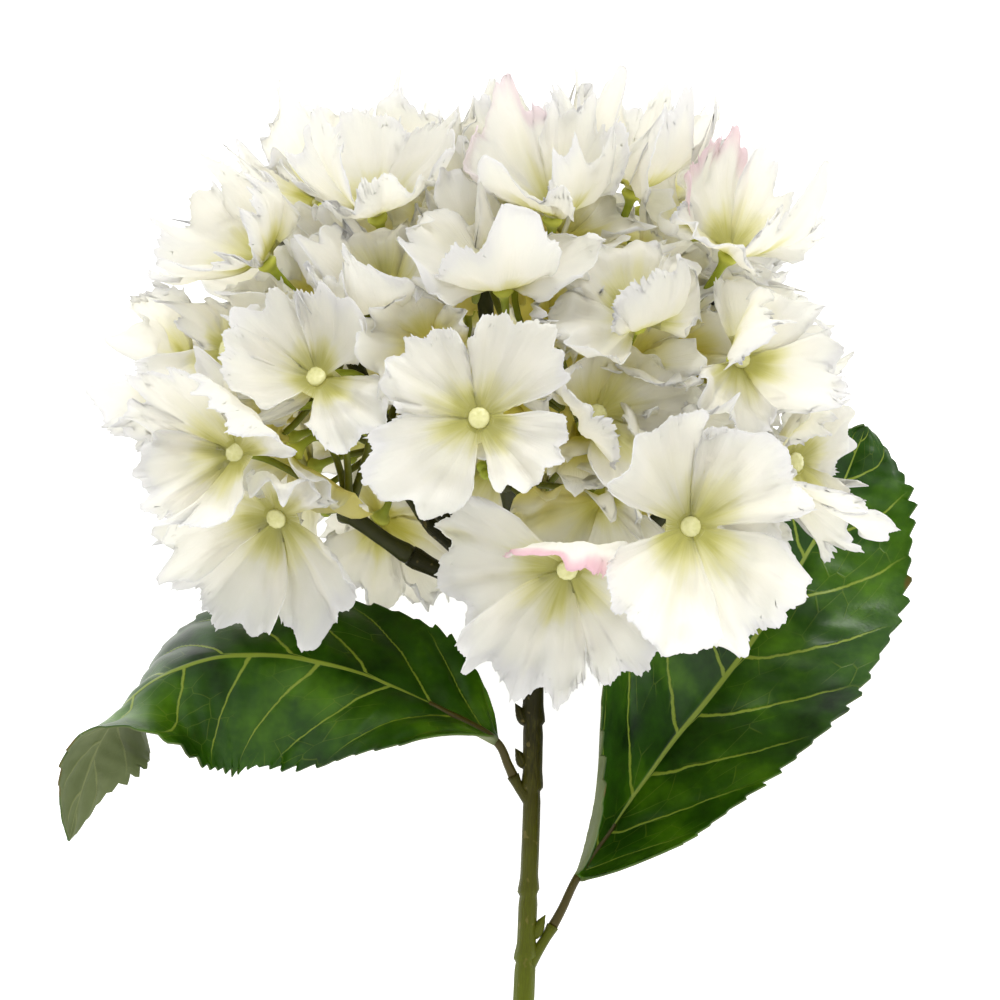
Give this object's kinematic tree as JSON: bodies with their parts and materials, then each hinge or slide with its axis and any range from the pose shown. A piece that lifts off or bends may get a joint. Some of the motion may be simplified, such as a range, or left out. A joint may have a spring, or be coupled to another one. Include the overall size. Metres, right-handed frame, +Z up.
{
  "type": "cut hydrangea",
  "caption": "Cut mophead hydrangea lying on its side: a dense round head of creamy four-petalled florets on a jointed stem with broad toothed leaves.",
  "frame": {"origin": "on the surface that the flower lies on, under the middle of its outline", "axes": "+Y along the stem towards the head, +Z up out of the surface, +X to the right as seen from above with the head at the top"},
  "size_m": [0.2002, 0.354, 0.1555],
  "materials": {
    "petal": "matt, slightly translucent, cream at the heart and white at the edge",
    "bead": "satin pale yellow-green",
    "stalk": "satin olive green",
    "stem": "satin olive to brown green",
    "leaf": "glossy dark green with pale raised veins"
  },
  "bodies": {
    "root": {"stem": "stem", "spray_front_left": "petal", "spray_front": "petal", "spray_front_right": "petal", "spray_left": "petal", "spray_top": "petal", "spray_right": "petal", "spray_back_left": "petal", "spray_back_right": "petal", "leaf_left": "leaf", "leaf_right": "leaf"}
  },
  "joints": []
}
